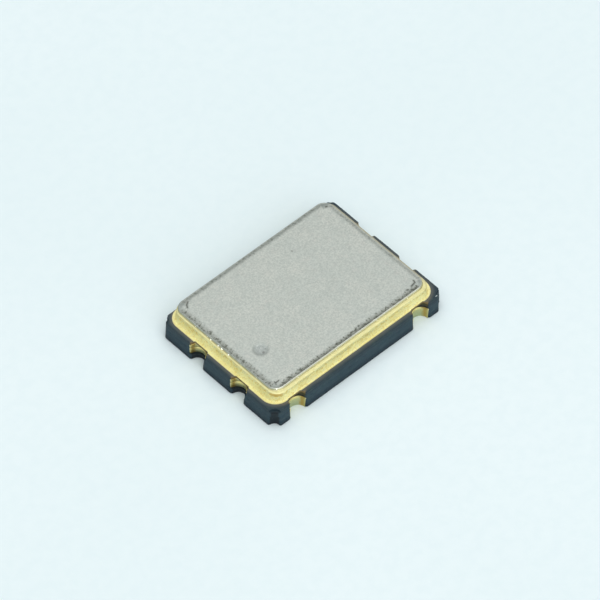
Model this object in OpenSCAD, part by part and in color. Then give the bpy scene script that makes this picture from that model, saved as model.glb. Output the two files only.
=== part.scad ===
// Crystal oscillator in a 7 x 5 mm leadless ceramic package.
// Frame: origin at the bottom centre, +X along the long side, +Y along the
// short side, +Z up. Terminal 1 is at -X, -Y. All sizes are in millimetres.

/* [Package] */
// Length of the ceramic, along X
body_length = 7.0; // [5.8:0.05:9]
// Width of the ceramic, along Y
body_width = 5.0; // [4.15:0.05:7]
// Radius of the quarter-round notch at each corner
corner_notch_r = 0.20; // [0.1:0.01:0.4]

/* [Ceramic layers] */
// Bottom layer, under the cavity floor
floor_layer_t = 0.19; // [0.1:0.01:0.4]
// Layer that walls the die pit and carries the bond fingers
finger_layer_t = 0.22; // [0.18:0.01:0.4]
// Layer that carries the crystal shelf
shelf_layer_t = 0.17; // [0.14:0.01:0.4]
// Top layer, under the seal
top_layer_t = 0.08; // [0.05:0.01:0.3]

/* [Castellations] */
// Centre of each terminal castellation from the end of the package
terminal_inset = 0.96; // [0.9:0.01:1.4]
// Centre of each test pad castellation from the side of the package
test_inset = 1.60; // [1.3:0.01:1.9]
// Radius of a terminal castellation
terminal_notch_r = 0.31; // [0.2:0.01:0.4]
// Radius of a test pad castellation in the two upper layers
test_notch_r = 0.33; // [0.2:0.01:0.4]
// Radius of a test pad castellation in the second layer
test_plated_r = 0.30; // [0.29:0.01:0.32]
// Radius of a test pad castellation in the lowest layer, which isn't plated
test_lower_r = 0.28; // [0.2:0.01:0.28]
// Depth of a terminal castellation in the top layer
terminal_top_depth = 0.19; // [0.1:0.01:0.25]
// Depth of a test pad castellation in the top layer
test_top_depth = 0.17; // [0.1:0.01:0.25]
// Thickness of the plating on walls and solder pads
plating_t = 0.02; // [0.01:0.005:0.04]
// Thickness of printed metal inside the package
film_t = 0.01; // [0.005:0.005:0.03]

/* [Solder pads] */
// Length of a solder pad, along X
pad_length = 1.40; // [0.8:0.05:1.5]
// Width of a solder pad, from the side of the package inward
pad_width = 1.20; // [0.7:0.05:1.6]

/* [Seal] */
// Register of the printed seal on the ceramic, along Y
seal_shift_y = 0.07; // [0:0.01:0.08]
// Ceramic margin outside the seal print at the ends
flange_inset_x = 0.125; // [0.05:0.005:0.2]
// Ceramic margin outside the seal print at the sides
flange_inset_y = 0.09; // [0.085:0.005:0.1]
// Corner radius of the seal print
flange_r = 0.50; // [0.4:0.01:0.6]
// Ceramic margin outside the ring at the ends
ring_inset_x = 0.28; // [0.27:0.01:0.5]
// Ceramic margin outside the ring at the sides
ring_inset_y = 0.18; // [0.17:0.01:0.5]
// Outer corner radius of the ring
ring_r = 0.38; // [0.25:0.01:0.6]
// Wall of the ring, seen from above
ring_wall = 0.40; // [0.3:0.01:0.5]
// Inner corner radius of the ring
ring_inner_r = 0.22; // [0.1:0.01:0.4]
// Height of the ring
ring_h = 0.32; // [0.25:0.01:0.6]
// Radius of the ring's rounded top edge
ring_edge_r = 0.03; // [0.01:0.005:0.05]
// Thickness of the braze under the ring
braze_t = 0.02; // [0.01:0.005:0.04]
// Radius of the braze fillet round the ring
braze_fillet = 0.055; // [0.03:0.005:0.06]
// Height of the blunt edge where the fillet runs out
braze_toe = 0.004; // [0.003:0.001:0.006]

/* [Lid] */
// Step from the ring's outer wall to the lid at the ends
lid_inset_x = 0.09; // [0.08:0.005:0.3]
// Step from the ring's outer wall to the lid at the sides
lid_inset_y = 0.075; // [0.07:0.005:0.3]
// Placement of the lid on the ring, along X
lid_shift_x = -0.01; // [-0.05:0.01:0.05]
// Placement of the lid on the ring, along Y
lid_shift_y = 0.055; // [-0.06:0.005:0.06]
// Thickness of the lid
lid_t = 0.10; // [0.06:0.01:0.2]
// Corner radius of the lid
lid_r = 0.34; // [0.2:0.01:0.5]
// Radius of the lid's rounded top edge
lid_edge_r = 0.025; // [0.01:0.005:0.04]
// Diameter of the round recess that marks terminal 1
mark_d = 0.50; // [0.3:0.02:0.8]
// Depth of that recess
mark_depth = 0.012; // [0.005:0.001:0.03]
// Centre of the recess from the end of the lid
mark_inset = 0.80; // [0.6:0.01:1.2]
// Centre of the recess from the middle of the lid, towards terminal 1
mark_offset = 0.75; // [0.3:0.01:1.2]

/* [Cavity] */
// Ceramic ledge inside the ring at the ends
cavity_margin_x = 0.12; // [0.08:0.01:0.3]
// Ceramic ledge inside the ring at the sides
cavity_margin_y = 0.17; // [0.12:0.01:0.3]
// Corner radius of the cavity's upper steps
cavity_r = 0.22; // [0.1:0.01:0.4]
// Length of the crystal shelf at each end
crystal_shelf = 0.75; // [0.6:0.01:0.85]
// Gap between the die and the wall of its pit
pit_clearance = 0.18; // [0.12:0.01:0.25]
// Corner radius of the die pit
pit_r = 0.15; // [0.05:0.01:0.3]
// Step between the print in the pit and the pit's wall
pit_print_gap = 0.05; // [0.02:0.01:0.1]

/* [Die] */
// Length of the die, along X
die_length = 1.50; // [1.3:0.05:1.8]
// Width of the die, along Y
die_width = 1.15; // [0.9:0.05:1.4]
// Thickness of the die
die_t = 0.20; // [0.15:0.01:0.25]
// Thickness of the adhesive under the die
attach_t = 0.02; // [0.01:0.005:0.04]
// Adhesive squeezed out round the die
attach_spread = 0.05; // [0.02:0.01:0.08]

/* [Bonding] */
// Pitch of the bonds along the die
bond_pitch = 0.50; // [0.35:0.01:0.6]
// Width of a bond finger, along X
finger_width = 0.26; // [0.15:0.01:0.3]
// Length of a bond finger, along Y
finger_length = 0.36; // [0.25:0.01:0.45]
// Bare ceramic round the bond fingers
finger_gap = 0.08; // [0.04:0.01:0.1]
// Centre of a bond from the edge of the die
bond_inset = 0.12; // [0.08:0.01:0.2]
// Radius of the gold wire
wire_r = 0.015; // [0.01:0.0025:0.02]
// Angle at which a wire leaves its bond
wire_angle = 45; // [35:1:50]
// Radius of the ball on the die
ball_r = 0.035; // [0.025:0.005:0.05]
// Height of the ball on the die
ball_h = 0.025; // [0.02:0.001:0.035]
// Radius of the stitch on the finger
stitch_r = 0.028; // [0.02:0.001:0.04]
// Height of the stitch on the finger
stitch_h = 0.02; // [0.018:0.001:0.03]

/* [Crystal] */
// Gap between each end of the quartz blank and the cavity wall
blank_gap = 0.28; // [0.15:0.01:0.3]
// Width of the quartz blank, along Y
blank_width = 1.90; // [1.6:0.05:2.3]
// Thickness of the quartz blank
blank_t = 0.11; // [0.06:0.01:0.2]
// Centre of each adhesive dot from the middle of the blank
mount_y = 0.62; // [0.5:0.01:0.7]
// Centre of each adhesive dot from the end of the blank
mount_inset = 0.10; // [0.05:0.01:0.15]
// Length of a crystal mount pad, along X
mount_pad_length = 0.56; // [0.5:0.01:0.65]
// Width of a crystal mount pad, along Y
mount_pad_width = 0.62; // [0.5:0.01:0.75]
// Radius of an adhesive dot on its pad
dot_r = 0.24; // [0.18:0.01:0.25]
// Height of the adhesive dome
dot_dome = 0.12; // [0.1:0.01:0.14]
// Adhesive between the mount pad and the blank
dot_h = 0.04; // [0.03:0.005:0.06]
// Length of an electrode, along X
electrode_length = 2.40; // [1.6:0.05:2.8]
// Width of an electrode, along Y
electrode_width = 1.40; // [1.2:0.05:1.6]
// Corner radius of an electrode
electrode_r = 0.30; // [0.1:0.01:0.5]
// Thickness of an electrode
electrode_t = 0.008; // [0.005:0.001:0.012]
// Width of the lead from an electrode to its dot
lead_width = 0.34; // [0.2:0.01:0.4]
// Length of the upper lead where it folds under the blank
lead_fold = 0.36; // [0.25:0.01:0.4]
// Length of the rest under the free end, along X
pillow_length = 0.24; // [0.15:0.01:0.35]
// Width of the rest under the free end, along Y
pillow_width = 1.30; // [0.8:0.05:1.6]
// Height of the rest under the free end
pillow_h = 0.03; // [0.02:0.001:0.035]

/* [Hidden] */
$fn = 64;
e = 0.01; // how far a cutter runs past the face it opens

// heights of the stack, from the solder pads up
z_body = plating_t;
z_floor = z_body + floor_layer_t;
z_finger = z_floor + finger_layer_t;
z_shelf = z_finger + shelf_layer_t;
z_top = z_shelf + top_layer_t;
z_braze = z_top + film_t;
z_ring = z_braze + braze_t;
z_lid = z_ring + ring_h;
z_cover = z_lid + lid_t;
z_attach = z_floor + film_t;
z_die = z_attach + attach_t;
z_dot = z_shelf + film_t;
z_blank = z_dot + dot_h;

// seal and lid, seen from above
flange_l = body_length - 2 * flange_inset_x;
flange_w = body_width - 2 * flange_inset_y;
ring_l = body_length - 2 * ring_inset_x;
ring_w = body_width - 2 * ring_inset_y;
ring_in_l = ring_l - 2 * ring_wall;
ring_in_w = ring_w - 2 * ring_wall;
lid_l = ring_l - 2 * lid_inset_x;
lid_w = ring_w - 2 * lid_inset_y;
lid_x = lid_shift_x;
lid_y = seal_shift_y + lid_shift_y;

// cavity, from the top step down
cavity_l = ring_in_l - 2 * cavity_margin_x;
cavity_w = ring_in_w - 2 * cavity_margin_y;
pit_l = die_length + 2 * pit_clearance;
pit_w = die_width + 2 * pit_clearance;
well_l = cavity_l - 2 * crystal_shelf;
well_w = pit_w + 2 * (finger_length + 2 * finger_gap);
finger_y = pit_w / 2 + finger_gap + finger_length / 2;
bond_y = die_width / 2 - bond_inset;

// crystal
blank_l = cavity_l - 2 * blank_gap;
blank_end = -blank_l / 2;
mount_x = blank_end + mount_inset;

gold = [0.93, 0.84, 0.50];

// ---------- shared shapes ----------

// Rectangle with round corners, centred
module rounded(l, w, r) {
    square([l - 2 * r, w], center = true);
    square([l, w - 2 * r], center = true);
    for (sx = [-1, 1], sy = [-1, 1])
        translate([sx * (l / 2 - r), sy * (w / 2 - r)]) circle(r);
}

// Extrudes a 2D shape from one height to another
module slab(z0, z1) {
    translate([0, 0, z0]) linear_extrude(z1 - z0) children();
}

// Sweeps a profile round a rounded rectangle. The profile's x runs outward
// from the wall and its y runs up.
module sweep(l, w, r) {
    for (turn = [0, 180]) rotate([0, 0, turn]) {
        translate([l / 2, w / 2 - r, 0])
            rotate([90, 0, 0]) linear_extrude(w - 2 * r) children();
        translate([l / 2 - r, w / 2, 0])
            rotate([90, 0, 90]) mirror([0, 0, 1]) linear_extrude(l - 2 * r) children();
        translate([l / 2 - r, w / 2 - r, 0])
            rotate_extrude(angle = 90) translate([r, 0]) children();
        translate([r - l / 2, w / 2 - r, 0])
            rotate([0, 0, 90]) rotate_extrude(angle = 90) translate([r, 0]) children();
    }
}

// Waste outside a rounded top edge
module edge_waste(l, w, r, edge_r, z) {
    translate([0, 0, z]) sweep(l, w, r) difference() {
        translate([-edge_r, -edge_r]) square(edge_r + e);
        translate([-edge_r, -edge_r]) circle(edge_r);
    }
}

// Half of a ring, on the side of +Y
module half_ring(outer_r, inner_r) {
    difference() {
        circle(outer_r);
        circle(inner_r);
        translate([-2 * outer_r, -2 * outer_r]) square([4 * outer_r, 2 * outer_r]);
    }
}

// A castellation that the top layer cuts less deep
module shallow_notch(r, depth) {
    intersection() {
        circle(r);
        translate([-r, -r]) square([2 * r, r + depth]);
    }
}

// Terminals and test pads run counter-clockwise from the corner at -X, -Y.
// Each one is drawn at the package's edge with +Y pointing inward.
function west(i) = i == 1 || i == 4;
function south(i) = i <= 2;

module at_terminal(i) {
    x = body_length / 2 - terminal_inset;
    translate([west(i) ? -x : x, south(i) ? -body_width / 2 : body_width / 2, 0])
        rotate([0, 0, south(i) ? 0 : 180]) children();
}

module at_test_pad(i) {
    y = body_width / 2 - test_inset;
    translate([west(i) ? -body_length / 2 : body_length / 2, south(i) ? -y : y, 0])
        rotate([0, 0, west(i) ? -90 : 90]) children();
}

// ---------- ceramic ----------

module castellations_in_top_layer() {
    for (i = [1:4]) {
        at_terminal(i) shallow_notch(terminal_notch_r, terminal_top_depth);
        at_test_pad(i) shallow_notch(test_notch_r, test_top_depth);
    }
}

module ceramic_base() {
    color([0.16, 0.18, 0.21]) difference() {
        slab(z_body, z_top) difference() {
            square([body_length, body_width], center = true);
            for (sx = [-1, 1], sy = [-1, 1])
                translate([sx * body_length / 2, sy * body_width / 2]) circle(corner_notch_r);
        }
        // stepped cavity: die pit, bond finger well, crystal shelf
        slab(z_floor, z_top + e) rounded(pit_l, pit_w, pit_r);
        slab(z_finger, z_top + e) rounded(well_l, well_w, cavity_r);
        slab(z_shelf, z_top + e) rounded(cavity_l, cavity_w, cavity_r);
        // castellations, layer by layer
        for (i = [1:4]) {
            at_terminal(i) slab(z_body - e, z_shelf) circle(terminal_notch_r);
            at_test_pad(i) {
                slab(z_body - e, z_floor + e) circle(test_lower_r);
                slab(z_floor, z_finger + e) circle(test_plated_r);
                slab(z_finger, z_shelf) circle(test_notch_r);
            }
        }
        slab(z_shelf - e, z_top + e) castellations_in_top_layer();
    }
}

// Solder pad under the ceramic and the plated half-round that climbs from it
module terminal(i) {
    color(gold) at_terminal(i) {
        slab(0, z_body) difference() {
            translate([-pad_length / 2, 0]) square([pad_length, pad_width]);
            circle(terminal_notch_r - e);
        }
        slab(0, z_finger) half_ring(terminal_notch_r, terminal_notch_r - plating_t);
    }
}

// Plated half-rounds of the two middle layers and the ledge between them
module test_pad(i) {
    color(gold) at_test_pad(i) {
        slab(z_floor, z_finger + film_t) half_ring(test_plated_r, test_plated_r - plating_t);
        slab(z_finger, z_finger + film_t) half_ring(test_notch_r, test_plated_r - plating_t);
        slab(z_finger, z_shelf) half_ring(test_notch_r, test_notch_r - plating_t);
    }
}

module terminal_1() { terminal(1); }
module terminal_2() { terminal(2); }
module terminal_3() { terminal(3); }
module terminal_4() { terminal(4); }
module test_pad_1() { test_pad(1); }
module test_pad_2() { test_pad(2); }
module test_pad_3() { test_pad(3); }
module test_pad_4() { test_pad(4); }

// ---------- seal ----------

module seal_metallisation() {
    color(gold) slab(z_top, z_braze) difference() {
        translate([0, seal_shift_y]) rounded(flange_l, flange_w, flange_r);
        rounded(cavity_l, cavity_w, cavity_r);
        castellations_in_top_layer();
    }
}

module ring_outline() {
    difference() {
        rounded(ring_l, ring_w, ring_r);
        rounded(ring_in_l, ring_in_w, ring_inner_r);
    }
}

// Film under the ring and the concave fillet that climbs its outer wall
module braze_joint() {
    reach = braze_fillet + braze_toe;
    color([0.90, 0.80, 0.45]) translate([0, seal_shift_y, 0]) {
        slab(z_braze, z_ring) ring_outline();
        translate([0, 0, z_braze]) sweep(ring_l, ring_w, ring_r) difference() {
            square(reach);
            translate([reach, reach]) circle(braze_fillet);
        }
    }
}

module seal_ring() {
    color([0.95, 0.87, 0.58]) translate([0, seal_shift_y, 0]) difference() {
        slab(z_ring, z_lid) ring_outline();
        edge_waste(ring_l, ring_w, ring_r, ring_edge_r, z_lid);
    }
}

module lid() {
    color([0.76, 0.78, 0.76]) translate([lid_x, lid_y, 0]) difference() {
        slab(z_lid, z_cover) rounded(lid_l, lid_w, lid_r);
        edge_waste(lid_l, lid_w, lid_r, lid_edge_r, z_cover);
        slab(z_cover - mark_depth, z_cover + e)
            translate([mark_inset - lid_l / 2, -mark_offset]) circle(d = mark_d);
    }
}

// ---------- die and bonding ----------

module die_pad() {
    color(gold) slab(z_floor, z_attach)
        rounded(pit_l - 2 * pit_print_gap, pit_w - 2 * pit_print_gap, pit_r - pit_print_gap);
}

module die_attach() {
    color([0.70, 0.70, 0.72]) slab(z_attach, z_die)
        rounded(die_length + 2 * attach_spread, die_width + 2 * attach_spread, attach_spread);
}

module oscillator_die() {
    color([0.30, 0.32, 0.38]) slab(z_die, z_die + die_t)
        square([die_length, die_width], center = true);
}

// Bonds 1 to 3 lie along the side at -Y and 4 to 6 along the side at +Y.
// Each one is drawn with +Y pointing away from the die.
module at_bond(i) {
    x = (i <= 3 ? i - 2 : 5 - i) * bond_pitch;
    translate([x, 0, 0]) rotate([0, 0, i <= 3 ? 180 : 0]) children();
}

module bond_finger(i) {
    color(gold) at_bond(i) slab(z_finger, z_finger + film_t)
        translate([0, finger_y]) square([finger_width, finger_length], center = true);
}

// Ball on the die, arc of wire and stitch on the finger
module bond_wire(i) {
    z0 = z_die + die_t;
    z1 = z_finger + film_t;
    run = finger_y - bond_y;
    drop = z1 - z0;
    arc_r = sqrt(run * run + drop * drop) / 2 / sin(wire_angle);
    color([0.96, 0.80, 0.40]) at_bond(i) {
        translate([0, bond_y, z0]) cylinder(h = ball_h, r = ball_r);
        translate([0, finger_y, z1]) cylinder(h = stitch_h, r = stitch_r);
        translate([0, (bond_y + finger_y) / 2, (z0 + z1) / 2 + wire_r])
            rotate([atan2(drop, run), 0, 0])
            translate([0, 0, -arc_r * cos(wire_angle)])
            rotate([0, -90, 0]) rotate([0, 0, -wire_angle])
            rotate_extrude(angle = 2 * wire_angle) translate([arc_r, 0]) circle(wire_r);
    }
}

module bond_finger_1() { bond_finger(1); }
module bond_finger_2() { bond_finger(2); }
module bond_finger_3() { bond_finger(3); }
module bond_finger_4() { bond_finger(4); }
module bond_finger_5() { bond_finger(5); }
module bond_finger_6() { bond_finger(6); }
module bond_wire_1() { bond_wire(1); }
module bond_wire_2() { bond_wire(2); }
module bond_wire_3() { bond_wire(3); }
module bond_wire_4() { bond_wire(4); }
module bond_wire_5() { bond_wire(5); }
module bond_wire_6() { bond_wire(6); }

// ---------- crystal ----------

module mount_pad(side) {
    color(gold) slab(z_shelf, z_dot)
        translate([mount_x, side * mount_y])
        square([mount_pad_length, mount_pad_width], center = true);
}

module mount_pad_1() { mount_pad(-1); }
module mount_pad_2() { mount_pad(1); }

module blank() {
    slab(z_blank, z_blank + blank_t) square([blank_l, blank_width], center = true);
}

// Electrode with a lead that runs past the end of the blank by some length
module electrode_outline(side, past_end) {
    rounded(electrode_length, electrode_width, electrode_r);
    translate([blank_end - past_end, side * mount_y - lead_width / 2])
        square([past_end - blank_end - electrode_length / 2 + electrode_r, lead_width]);
}

// The upper lead folds round the end of the blank to reach its dot
module upper_film() {
    z_up = z_blank + blank_t;
    slab(z_up, z_up + electrode_t) electrode_outline(1, electrode_t);
    translate([blank_end - electrode_t, mount_y - lead_width / 2, z_blank - electrode_t]) {
        cube([electrode_t, lead_width, blank_t + 2 * electrode_t]);
        cube([lead_fold, lead_width, electrode_t]);
    }
}

module lower_film() {
    slab(z_blank - electrode_t, z_blank) electrode_outline(-1, 0);
}

module quartz_blank() { color([0.85, 0.90, 0.92]) blank(); }
module electrode_upper() { color([0.85, 0.86, 0.88]) upper_film(); }
module electrode_lower() { color([0.80, 0.81, 0.83]) lower_film(); }

// Dome of conductive adhesive that wets the end of the blank
module adhesive_dot(side) {
    dome_r = (dot_r * dot_r + dot_dome * dot_dome) / (2 * dot_dome);
    color([0.62, 0.62, 0.64]) difference() {
        translate([mount_x, side * mount_y, z_dot]) intersection() {
            translate([0, 0, dot_dome - dome_r]) sphere(dome_r);
            cylinder(h = dot_dome + e, r = dot_r + e);
        }
        blank();
        if (side > 0) upper_film();
        if (side < 0) lower_film();
    }
}

module adhesive_dot_1() { adhesive_dot(-1); }
module adhesive_dot_2() { adhesive_dot(1); }

// Printed rest below the free end of the blank
module support_pillow() {
    color([0.55, 0.50, 0.42]) slab(z_shelf, z_shelf + pillow_h)
        translate([-blank_end - pillow_length / 2, 0])
        rounded(pillow_length, pillow_width, pillow_length / 3);
}

// ---------- output ----------

ceramic_base();
terminal_1();
terminal_2();
terminal_3();
terminal_4();
test_pad_1();
test_pad_2();
test_pad_3();
test_pad_4();
seal_metallisation();
braze_joint();
seal_ring();
lid();
die_pad();
die_attach();
oscillator_die();
bond_finger_1();
bond_finger_2();
bond_finger_3();
bond_finger_4();
bond_finger_5();
bond_finger_6();
bond_wire_1();
bond_wire_2();
bond_wire_3();
bond_wire_4();
bond_wire_5();
bond_wire_6();
mount_pad_1();
mount_pad_2();
adhesive_dot_1();
adhesive_dot_2();
support_pillow();
quartz_blank();
electrode_upper();
electrode_lower();
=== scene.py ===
"""Looks of a crystal oscillator in a 7 x 5 mm ceramic package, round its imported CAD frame.

Everything is in metres. The part's frame is the CAD's: origin at the bottom centre, +X along
the long side, +Z up, terminal 1 at -X, -Y. Lengths below are millimetres times MM.
"""

from math import copysign, cos, pi, radians, sin

import bpy
import numpy as np
from mathutils import Matrix, Vector
from mathutils.geometry import delaunay_2d_cdt


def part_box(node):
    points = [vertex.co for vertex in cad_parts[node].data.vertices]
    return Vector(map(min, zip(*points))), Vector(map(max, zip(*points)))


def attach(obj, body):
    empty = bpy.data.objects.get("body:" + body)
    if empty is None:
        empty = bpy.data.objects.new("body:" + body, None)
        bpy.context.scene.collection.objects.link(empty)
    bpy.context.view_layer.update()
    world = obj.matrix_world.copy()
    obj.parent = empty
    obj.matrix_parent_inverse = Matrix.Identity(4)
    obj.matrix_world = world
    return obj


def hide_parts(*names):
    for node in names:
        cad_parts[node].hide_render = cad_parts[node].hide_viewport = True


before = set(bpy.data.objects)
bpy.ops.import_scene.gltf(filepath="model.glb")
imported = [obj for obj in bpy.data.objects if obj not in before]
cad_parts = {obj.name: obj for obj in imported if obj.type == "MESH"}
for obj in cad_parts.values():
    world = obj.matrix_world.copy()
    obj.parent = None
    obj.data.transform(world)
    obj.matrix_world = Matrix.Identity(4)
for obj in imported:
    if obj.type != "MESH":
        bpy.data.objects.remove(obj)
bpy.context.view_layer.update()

MM = 0.001
UM = 0.000001
SEED = 20

# ---------- sizes, from the frame where it has them ----------

BODY_LO, BODY_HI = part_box("ceramic_base")
RING_LO, RING_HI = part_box("seal_ring")
LID_LO, LID_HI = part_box("lid")
BRAZE_LO, BRAZE_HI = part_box("braze_joint")
PRINT_LO, PRINT_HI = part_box("seal_metallisation")
TERMINAL_LO, TERMINAL_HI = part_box("terminal_1")
TEST_LO, TEST_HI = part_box("test_pad_1")
PIT_LO, PIT_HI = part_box("die_pad")
FINGER_LO, FINGER_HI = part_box("bond_finger_6")
SHELF_LO, SHELF_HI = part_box("mount_pad_1")

HALF_L, HALF_W = BODY_HI.x, BODY_HI.y
Z_BODY, Z_TOP = BODY_LO.z, BODY_HI.z
Z_FLOOR, Z_FINGER, Z_SHELF = PIT_LO.z, FINGER_LO.z, SHELF_LO.z

# sizes that a box can't give: the CAD source's, but for the smaller hole of the lowest layer
CORNER_NOTCH_R = 0.20 * MM
TERMINAL_R = 0.31 * MM
TEST_R = 0.33 * MM
TEST_PLATED_R = 0.30 * MM
TEST_LOWER_R = 0.24 * MM  # 0.28 mm in the source
PLATING = 0.02 * MM
TERMINAL_TOP_DEPTH = 0.19 * MM
TEST_TOP_DEPTH = 0.17 * MM
PRINT_R = 0.50 * MM
RING_R = 0.38 * MM
RING_WALL = 0.40 * MM
LID_R = 0.34 * MM
CAVITY_R = 0.22 * MM
PIT_R = 0.15 * MM
PIT_GAP = 0.05 * MM
CAVITY_MARGIN = Vector((0.12 * MM, 0.17 * MM))
CRYSTAL_SHELF = 0.75 * MM
FINGER_GAP = 0.08 * MM
MARK_R = 0.25 * MM
MARK_DEPTH = 11 * UM
MARK_FROM_END = 0.80 * MM
MARK_FROM_MIDDLE = 0.75 * MM
RING_HALF = Vector((RING_HI.x, (RING_HI.y - RING_LO.y) / 2))
RING_Y = (RING_HI.y + RING_LO.y) / 2
TERMINAL_X = -(TERMINAL_LO.x + TERMINAL_HI.x) / 2
TEST_Y = -(TEST_LO.y + TEST_HI.y) / 2

# ---------- smooth random fields ----------

# Added to SEED: 0 to 126 for the ceramic, 200 to 263 for the platings, 300 to 332 for the ring
# and the braze, 400 to 450 for the lid and its beads.


def wander(positions, length, pitch, seed):
    """A smooth random value from -1 to 1 at each position along a closed line."""
    count = max(4, int(round(length / pitch)))
    knots = np.random.default_rng(SEED + seed).uniform(-1, 1, count)
    place = np.mod(np.asarray(positions) / length, 1.0) * count
    low = np.floor(place).astype(int)
    share = place - low
    share = share * share * (3 - 2 * share)
    return knots[low % count] * (1 - share) + knots[(low + 1) % count] * share


def patches(x, y, pitch, seed):
    """A smooth random value from -1 to 1 over a plane."""
    knots = np.random.default_rng(SEED + seed).uniform(-1, 1, (64, 64))
    px, py = np.asarray(x) / pitch + 31.5, np.asarray(y) / pitch + 31.5
    ix, iy = np.floor(px).astype(int), np.floor(py).astype(int)
    fx, fy = px - ix, py - iy
    fx, fy = fx * fx * (3 - 2 * fx), fy * fy * (3 - 2 * fy)
    corner = lambda dx, dy: knots[(ix + dx) % 64, (iy + dy) % 64]
    low = corner(0, 0) * (1 - fx) + corner(1, 0) * fx
    high = corner(0, 1) * (1 - fx) + corner(1, 1) * fx
    return low * (1 - fy) + high * fy


def ramp_between(value, low, high):
    """0 below low, 1 above high and a smooth step between them."""
    share = np.clip((np.asarray(value) - low) / (high - low), 0, 1)
    return share * share * (3 - 2 * share)


# ---------- meshes ----------

ARC_STEPS = 20  # points of a rounded corner


def new_object(name, data):
    thing = bpy.data.objects.new(name, data)
    bpy.context.scene.collection.objects.link(thing)
    return thing


def new_piece(name, vertices, faces, sharp_angle=35):
    """A mesh object with smooth shading and its sharp edges kept."""
    mesh = bpy.data.meshes.new(name)
    mesh.from_pydata([tuple(v) for v in vertices], [], [tuple(f) for f in faces])
    mesh.validate()
    mesh.update()
    mesh.polygons.foreach_set("use_smooth", [True] * len(mesh.polygons))
    mesh.set_sharp_from_angle(angle=radians(sharp_angle))
    return new_object(name, mesh)


def add_value(piece, name, values):
    """Writes one number per vertex, for a material to read."""
    made = piece.data.attributes.new(name, "FLOAT", "POINT")
    made.data.foreach_set("value", np.asarray(values, np.float32))


def at_height(points, z):
    """Points of a plane, lifted to z."""
    return np.column_stack([points, np.full(len(points), z)])


def loop_faces(loops, points, closed=False):
    """Quads between loops of equally many points, the last joined to the first if closed."""
    faces = []
    for k in range(loops if closed else loops - 1):
        here, there = k * points, (k + 1) % loops * points
        for i in range(points):
            j = (i + 1) % points
            faces.append((here + i, here + j, there + j, there + i))
    return faces


def end_caps(loops, points):
    """A face on the first of some loops, turned over, and one on the last."""
    return [range(points - 1, -1, -1), range((loops - 1) * points, loops * points)]


def rounded_loop(half_l, half_w, radius, n_long, n_short):
    """Points of a rounded rectangle and their outward normals, counter-clockwise from the left
    end of the side at -Y."""
    points, normals = [], []
    sides = [
        (Vector((0, -1)), half_l, half_w, n_long),
        (Vector((1, 0)), half_w, half_l, n_short),
        (Vector((0, 1)), half_l, half_w, n_long),
        (Vector((-1, 0)), half_w, half_l, n_short),
    ]
    for out, along_half, out_half, count in sides:
        along = Vector((-out.y, out.x))
        straight = along_half - radius
        for i in range(count):
            place = -straight + 2 * straight * i / count
            points.append(out * out_half + along * place)
            normals.append(out)
        centre = out * (out_half - radius) + along * straight
        for i in range(ARC_STEPS):
            angle = pi / 2 * i / ARC_STEPS
            normal = out * cos(angle) + along * sin(angle)
            points.append(centre + normal * radius)
            normals.append(normal)
    return np.array(points), np.array(normals)


def lengths_along(points):
    """How far each point of a closed line is from the first, and the line's whole length."""
    steps = np.linalg.norm(np.roll(points, -1, axis=0) - points, axis=1)
    return np.concatenate([[0], np.cumsum(steps)[:-1]]), steps.sum()


# ---------- ceramic base ----------

NOTCH_STEPS = 32
CORNER_STEPS = 12
CERAMIC_STEP = 0.03 * MM
LAYER_GROOVE = 2.5 * UM  # depth of the line between two layers
LAYER_BEVEL = 14 * UM
TOP_EDGE = 14 * UM
FOOT_EDGE = 8 * UM
WALL_ROUGHNESS = 2.5 * UM
ROUGH_PITCH, WAVE_PITCH, CHIP_PITCH = 0.07 * MM, 0.5 * MM, 0.11 * MM  # of walls and their edges
SOFT = 4  # how often an outline is averaged with itself, to round its corners
FULL = 1.0  # a castellation that isn't cut short
CORNER_SHADES = 1.0, 0.55, 0.55, 0.6  # darkness of the corner notches, from -X -Y round: their darker punched surface with painted shade, most at -X -Y
TOP_CORNER_SHADES = (0.35,) * 4  # and in the top layer

# Layers from the bottom up: bottom and top, (radius, depth) of a terminal's and of a test pad's
# castellation, radius of the notches at the corners (-X -Y, +X -Y, +X +Y, -X +Y) in mm, and how
# far the castellations of the short sides lie off towards +Y.
LAYERS = [
    (Z_BODY, Z_FLOOR, (TERMINAL_R, FULL), (TEST_LOWER_R, FULL), (0.21, 0.20, 0.20, 0.14),
     -0.01 * MM),
    (Z_FLOOR, Z_FINGER, (TERMINAL_R, FULL), (TEST_PLATED_R, FULL), (0.21, 0.19, 0.20, 0.14),
     0.035 * MM),
    (Z_FINGER, Z_SHELF, (TERMINAL_R, FULL), (TEST_R, FULL), (0.12, 0.20, 0.15, 0.19), 0.0),
    (Z_SHELF, Z_TOP, (TERMINAL_R, TERMINAL_TOP_DEPTH), (TEST_R, TEST_TOP_DEPTH),
     (0.25, 0.24, 0.13, 0.22), 0.0),
]
FLARE = 48 * UM  # how far the snapped sides stand out at their foot


def side_outline(half, centres, radius, depth):
    """One side of a layer, as (place along it, depth into it), with its two castellations.
    It starts after one corner notch and ends before the next."""
    line = []
    near, far = centres
    ends = [-half + CORNER_NOTCH_R, near - radius, near + radius, far - radius, far + radius,
            half - CORNER_NOTCH_R]
    outer = int((half - CORNER_NOTCH_R - (far - near) / 2 - TEST_R) / CERAMIC_STEP)
    inner = int((far - near - 2 * TEST_R) / CERAMIC_STEP)
    for k, count in enumerate((outer, inner, outer)):
        low, high = ends[2 * k], ends[2 * k + 1]
        for i in range(count):
            line.append((low + (high - low) * i / count, 0.0))
        if k == 2:
            break
        for i in range(NOTCH_STEPS):
            angle = pi * (1 - i / NOTCH_STEPS)
            line.append((centres[k] + radius * cos(angle),
                         min(radius * sin(angle), depth)))
    return line


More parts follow.
